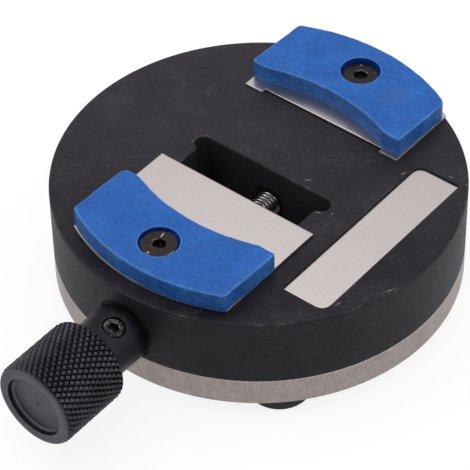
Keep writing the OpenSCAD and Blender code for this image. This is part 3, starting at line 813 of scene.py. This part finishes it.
# The moving plate stops a little short on the left.
LEFT_X = 18.15
INNER_Y = -6.9
shift = 3.1
left_a = math.acos(LEFT_X / RIM)
z = TOP_Z + PLATE_LIFT
paths = [
    line((PLATE_X, INNER_Y), (-LEFT_X, INNER_Y)), line((-LEFT_X, INNER_Y), (-LEFT_X, shift - RIM * math.sin(left_a))),
    arc(0, shift, RIM, 180 + math.degrees(left_a), 360 - edge_a), line((PLATE_X, shift - edge_y), (PLATE_X, INNER_Y)),
]
pin_holes = [hole(x, FRONT_Y + 2.5, 1.02, z) for x in (-9, 9)]
front_sheet = plate(outline(paths, [0.12, 0.1, 0.1, 0.12]), sheet_side(z),
                    [hole(0, FRONT_Y, SCREW_HOLE, z)] + pin_holes)
front_sheet = front_sheet.make("moving_plate", [FRONT_STEEL, PLATE_EDGE_SHADE])
keep(front_sheet, "slide", "plate_steel", "front_plate")

# Jaws and their screws


def jaw(name, z, sink, turn, y, cuts):
    """Jaw drawn around the disc's axis at the back, then turned and laid with its screw at y."""
    land_x, land_y, hollow_y = 14.70, 21.2, -16
    inner = math.degrees(math.acos(land_x / RIM))
    paths = [
        arc(0, 0, RIM, edge_a, 180 - edge_a),
        line((-PLATE_X, edge_y), (-PLATE_X, land_y)), line((-PLATE_X, land_y), (-land_x, land_y)),
        arc(0, hollow_y, RIM, 180 - inner, inner),
        line((land_x, land_y), (PLATE_X, land_y)), line((PLATE_X, land_y), (PLATE_X, edge_y)),
    ]
    paths[3][0], paths[3][-1] = (-land_x, land_y), (land_x, land_y)
    loop = uneven(outline(paths, cuts), 0.07)
    top, head = z + JAW_TALL, z + JAW_TALL - sink
    bore = [(0.14, top), (0.04, top - 0.04), (0, top - 0.14), (0, head - 0.25), (-0.31, head - 0.25),
            (-1.65, head - 1.57), (-1.65, z)]
    # The bore's wall and its rounded top edge take the third material, the painted shade.
    shape = plate(loop, rounded(top, z, 0.38, 0.08, (0.3, 0.8, 1.5)), [(circle(0, REAR_Y, 3.85, 80), bore, True, 2)])
    about_screw = Matrix.Rotation(math.radians(turn), 4, "Z") @ Matrix.Translation((0, -REAR_Y, 0))
    return shape.make(name, [JAW_TOP, JAW_SIDE, JAW_BORE_PAINTED_SHADE], Matrix.Translation((0, y, 0)) @ about_screw)


def hexagon(across):
    """Outline of a hexagonal socket, by its width across flats."""
    a = np.radians(np.arange(0, 360, 60))
    corners = across / math.sqrt(3) * np.stack([np.cos(a), np.sin(a)], 1)
    return outline([line(p, q, 0.4) for p, q in zip(corners, np.roll(corners, -1, 0))], [0.08] * 6)


def socket_screw(name, y, head, tip, material):
    """Countersunk screw with a hexagonal socket."""
    side = [(0.12, head), (0.035, head - 0.035), (0, head - 0.12), (0, head - 0.25), (1.5, head - 1.75),
            (1.5, tip + 0.4), (1.9, tip)]
    socket = [(0.10, head), (0, head - 0.10), (0, head - 0.7), (0, head - 1.5)]
    shape = plate(circle(0, 0, 3.5, 80), side, [(hexagon(2.5), socket, False)], (0.15, 0.5))
    return shape.make(name, [material, material], Matrix.Translation((0, y, 0)))


rear_jaw = jaw("fixed_jaw", REAR_JAW_Z, REAR_SINK, -2.5, REAR_Y, [0.6, 0.8, 0.6, 0.6, 0.6, 1.6])
keep(rear_jaw, "stand", "blue_jaw", "rear_jaw")
front_jaw = jaw("moving_jaw", FRONT_JAW_Z, FRONT_SINK, 178.5, FRONT_Y, [0.6, 0.6, 0.6, 0.6, 1.8, 0.6])
keep(front_jaw, "slide", "blue_jaw", "front_jaw")
rear_bolt = socket_screw("fixed_jaw_bolt", REAR_Y, REAR_HEAD, 17.7, REAR_BOLT)
keep(rear_bolt, "stand", "black_oxide_steel", "rear_jaw_screw")
front_bolt = socket_screw("moving_jaw_bolt", FRONT_Y, FRONT_HEAD, 17.9, FRONT_BOLT)
keep(front_bolt, "slide", "black_oxide_steel", "front_jaw_screw")

# Knob, its set screw and the lead screw


def knob():
    """Turned knob, Z outward from the hub's inner face: hollow end, diamond knurling, plain hub."""
    teeth, per, rows = 42, 8, 65
    end, start, crest_r, groove_deep, edge_r = 24.7, 9.4, 8.65, 0.44, 8.05
    first, run = 24.6, 15.2
    hub_r, bore_r = 6, 2.52
    n = teeth * per
    shape = Shape()
    crest = []

    def add(r, z, worn=0.0):
        loop = circle(0, 0, 1.0, n) * np.reshape(r, (-1, 1)) if np.any(r) else np.zeros((1, 2))
        crest.extend(np.broadcast_to(worn, len(loop)))
        return shape.level(loop, z)

    turn = np.radians(np.linspace(0, 90, 6))
    hollow = [(5.5 + 0.7 * math.sin(t), 24.2 - 0.7 * math.cos(t)) for t in turn]
    face = [(0, 23.25), (0.3, 23.5), (4.0, 23.5)] + hollow
    face += [(6.2, 24.56), (6.24, 24.66), (6.34, end), (7.9, end), (8.04, 24.68)]
    rings = [add(r, z) for r, z in face]
    # The centre dot, the upper fillet and the dish wall keep the hub's black; the rest of the end face takes the
    # lighter copy, painted light.
    for i, (upper, lower) in enumerate(zip(rings, rings[1:])):
        shape.band(upper, lower, 0 if i == 0 or 5 < i < 10 else 2)
    column = np.arange(n)

    def groove(phase):
        return np.clip((1 - np.abs(2 * (phase % 1.0) - 1) - 0.12) / 0.88, 0, 1)

    for k in range(rows + 1):
        z = first - run * k / rows
        g = np.maximum(groove((column + k) / per), groove((column - k) / per))
        r = crest_r - groove_deep * g
        chamfer = min(edge_r + end - z, edge_r + z - start)
        ring = add(np.minimum(r, chamfer), z, np.where(r < chamfer, 1 - g, 0.3))
        if k == 0:
            shape.band(rings[-1], ring, 2)
        else:
            middle = column + 0.5
            one = groove((middle + k - 0.5) / per)
            two = groove((middle - k + 0.5) / per)
            shape.band(rings[-1], ring, 1, two > one)
        rings.append(ring)
    hub = [(6.15, start), (6.03, 9.34)] + [(hub_r, z) for z in (9.2, 7.0, 4.5, 2.2, 0.3)]
    hub += [(5.91, 0.09), (5.7, 0), (2.8, 0), (bore_r, 0.28), (bore_r, 18), (0, 18)]
    for r, z in hub:
        ring = add(r, z)
        shape.band(rings[-1], ring, 0)
        rings.append(ring)
    piece = shape.make("knurled_knob", [HUB, KNURL, KNOB_END_PAINTED_LIGHT], along_y(HUB_Y))
    piece.data.attributes.new("crest", "FLOAT", "POINT").data.foreach_set("value", crest)
    return piece


def set_screw_frame():
    """Frame at the lead screw's axis with Z outward along the set screw."""
    turn = Matrix.Rotation(math.radians(70), 4, "Z") @ Matrix.Rotation(math.radians(90), 4, "Y")
    return along_y(HUB_Y) @ Matrix.Translation((0, 0, 4.5)) @ turn


handle = knob()
tapped = turned([(0, 7.0), (2.25, 7.0), (2.25, 1.0), (0, 1.0)], 64, 0)
cut(handle, [tapped.make("cutter", [], set_screw_frame())])
keep(handle, "drive", "knob_black", "knob")

ringed = [
    (0.60, 5.8), (0.53, 5.77), (0.46, 5.64), (0.37, 5.64), (0.31, 5.74),
    (0.20, 5.74), (0.10, 5.66), (0, 5.45), (0, 2.52), (0.5, 2.02),
]
socket = [(0.14, 5.8), (0, 5.66), (0, 5.0), (0, 4.1)]
grub = plate(circle(0, 0, 2.0, 64), ringed, [(hexagon(2.0), socket, False)], (0.1,))
grub = grub.make("hub_set_screw", [GRUB, GRUB], set_screw_frame())
keep(grub, "drive", "black_oxide_steel", "knob_set_screw")


def lead_screw():
    """Lead screw with a right-hand thread and a flat for the set screw, Z from the knob end inward."""
    n, per = 48, 8
    start, end, pitch = 25.1, 61.5, 0.8
    outer, core, root, runout = 2.5, 2.0, 2.05, 0.7
    shape = Shape()
    crest = []
    phi = np.linspace(0, 2 * math.pi, n, endpoint=False)
    flat = np.minimum(outer, core / np.maximum(np.cos(phi - math.radians(20)), 0.5))

    def add(r, z, worn=0.0):
        r = np.broadcast_to(r, n)
        loop = np.stack([r * np.sin(phi), r * np.cos(phi)], 1)
        crest.extend(np.broadcast_to(worn, n))
        return shape.level(loop, z)

    def tip(z):
        crest.append(0.0)
        return shape.ring([(0, 0, z)])

    rings = [tip(0)]
    rings += [add(r, z) for r, z in (
        (core, 0), (outer, 0.5), (outer, 6.0), (flat, 6.0), (flat, 20.0), (outer, 20.0),
        (outer, 23.9), (core, 23.9), (core, 24.6), (outer, 24.6), (outer, start - 0.2),
    )]
    for z in np.arange(start, end, pitch / per):
        t = ((z - 60.1) / pitch - phi / (2 * math.pi)) % 1.0
        rise = np.clip(1.22 * np.abs(2 * t - 1) - 0.08, 0, 1)
        fade = min(1.0, (end - z) / 0.4)
        low = root if z - start > runout else outer - (outer - root) * (z - start) / runout
        rings.append(add(low + (outer - low) * rise * fade, z, rise * fade))
    rings += [add(core, end + 0.05), add(core, 68.8), add(1.7, 69.1), tip(69.1)]
    for upper, lower in zip(rings, rings[1:]):
        shape.band(lower, upper, 0)
    move = Matrix(((1, 0, 0, 0), (0, 0, 1, -57.8), (0, 1, 0, AXIS_Z), (0, 0, 0, 1)))
    shape.faces = [f[::-1] for f in shape.faces]
    piece = shape.make("threaded_spindle", [THREAD], move)
    piece.data.attributes.new("crest", "FLOAT", "POINT").data.foreach_set("value", crest)
    return piece


keep(lead_screw(), "drive", "screw_steel", "lead_screw", edges=False)

# Solids that show as they are

SHOWN = {
    "slide_block": STEEL, "front_bush": POLYMER, "rear_bush": POLYMER, "thrust_washer": POLYMER,
    "retaining_ring": STEEL, "front_plate_pins": STEEL, "base_screws": BOLT,
    "base_inserts": BRASS, "rear_jaw_insert": BRASS,
}
for node, material in SHOWN.items():
    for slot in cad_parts[node].material_slots:
        slot.material = material

# Floor, light and camera


def seen(tree):
    """One for rays from the camera and for mirrored or refracted ones."""
    path = tree.nodes.new("ShaderNodeLightPath")
    found = path.outputs["Is Camera Ray"]
    for name in ("Is Glossy Ray", "Is Transmission Ray"):
        either = tree.nodes.new("ShaderNodeMath")
        either.operation = "MAXIMUM"
        tree.links.new(found, either.inputs[0])
        tree.links.new(path.outputs[name], either.inputs[1])
        found = either.outputs[0]
    return found


def studio_floor():
    """White floor that keeps the holder's soft shadow."""
    size = 1.5
    mesh = bpy.data.meshes.new("floor")
    mesh.from_pydata([(-size, -size, 0), (size, -size, 0), (size, size, 0), (-size, size, 0)], [], [(0, 1, 2, 3)])
    floor = bpy.data.objects.new("floor", mesh)
    scene.collection.objects.link(floor)
    material = bpy.data.materials.new("floor_white")
    material.use_nodes = True
    tree = material.node_tree
    tree.nodes.clear()
    out = tree.nodes.new("ShaderNodeOutputMaterial")
    either = tree.nodes.new("ShaderNodeMixShader")
    tree.links.new(seen(tree), either.inputs["Fac"])
    for i, shade_of, lift in ((1, 0.35, 0.0), (2, 0.20, 0.83)):
        matte = tree.nodes.new("ShaderNodeBsdfDiffuse")
        matte.inputs["Color"].default_value = (shade_of, shade_of, shade_of, 1)
        glow = tree.nodes.new("ShaderNodeEmission")
        glow.inputs["Strength"].default_value = lift
        both = tree.nodes.new("ShaderNodeAddShader")
        tree.links.new(matte.outputs[0], both.inputs[0])
        tree.links.new(glow.outputs[0], both.inputs[1])
        tree.links.new(both.outputs[0], either.inputs[i])
    tree.links.new(either.outputs[0], out.inputs["Surface"])
    mesh.materials.append(material)


def studio_world():
    """White surroundings, dimmer as a source of light."""
    world = bpy.data.worlds.new("studio")
    scene.world = world
    world.use_nodes = True
    tree = world.node_tree
    tree.nodes.clear()
    out = tree.nodes.new("ShaderNodeOutputWorld")
    either = tree.nodes.new("ShaderNodeMixShader")
    tree.links.new(seen(tree), either.inputs["Fac"])
    for i, strength in ((1, 0.50), (2, 1.0)):
        sky = tree.nodes.new("ShaderNodeBackground")
        sky.inputs["Color"].default_value = (1, 1, 1, 1)
        sky.inputs["Strength"].default_value = strength
        tree.links.new(sky.outputs[0], either.inputs[i])
    tree.links.new(either.outputs[0], out.inputs["Surface"])


def softbox(name, place, size, power):
    """Square lamp that faces the holder."""
    light = bpy.data.lights.new(name, "AREA")
    light.shape = "SQUARE"
    light.size = size
    light.energy = power
    lamp = bpy.data.objects.new(name, light)
    lamp.location = place
    lamp.rotation_euler = (Vector((0, 0, 0.015)) - Vector(place)).to_track_quat("-Z", "Y").to_euler()
    scene.collection.objects.link(lamp)


studio_floor()
studio_world()
softbox("key", (-0.12, 0.02, 1.0), 1.25, 4.8)
softbox("fill", (-0.80, -0.55, 0.55), 1.0, 2.6)
softbox("side", (0.80, 0.30, 0.45), 0.9, 2.3)

# The camera fitted to the photograph: focal length and picture width in pixels, distances in millimetres.
FOCAL_PX = 2642.2409
PHOTO_PX = 470
SENSOR = 36
AIM_Z = 15.5
ASIDE, BELOW, AWAY = 4.6086, 5.0496, 509.4836
az, el, roll = (math.radians(v) for v in (39.7459, 43.6819, -1.3091))
back = Vector((math.sin(az) * math.cos(el), -math.cos(az) * math.cos(el), math.sin(el)))
level = Vector((math.cos(az), math.sin(az), 0))
rise = back.cross(level)
right = math.cos(roll) * level + math.sin(roll) * rise
up = math.cos(roll) * rise - math.sin(roll) * level
eye = Vector((0, 0, AIM_Z)) - ASIDE * right - BELOW * up + AWAY * back
lens = bpy.data.cameras.new("camera")
lens.sensor_width = SENSOR
lens.lens = FOCAL_PX / PHOTO_PX * SENSOR
lens.clip_start = 0.01
lens.clip_end = 20
camera = bpy.data.objects.new("camera", lens)
camera.matrix_world = Matrix.Translation(eye * MM) @ Matrix((right, up, back)).transposed().to_4x4()
scene.collection.objects.link(camera)
scene.camera = camera
scene.view_settings.view_transform = "Standard"
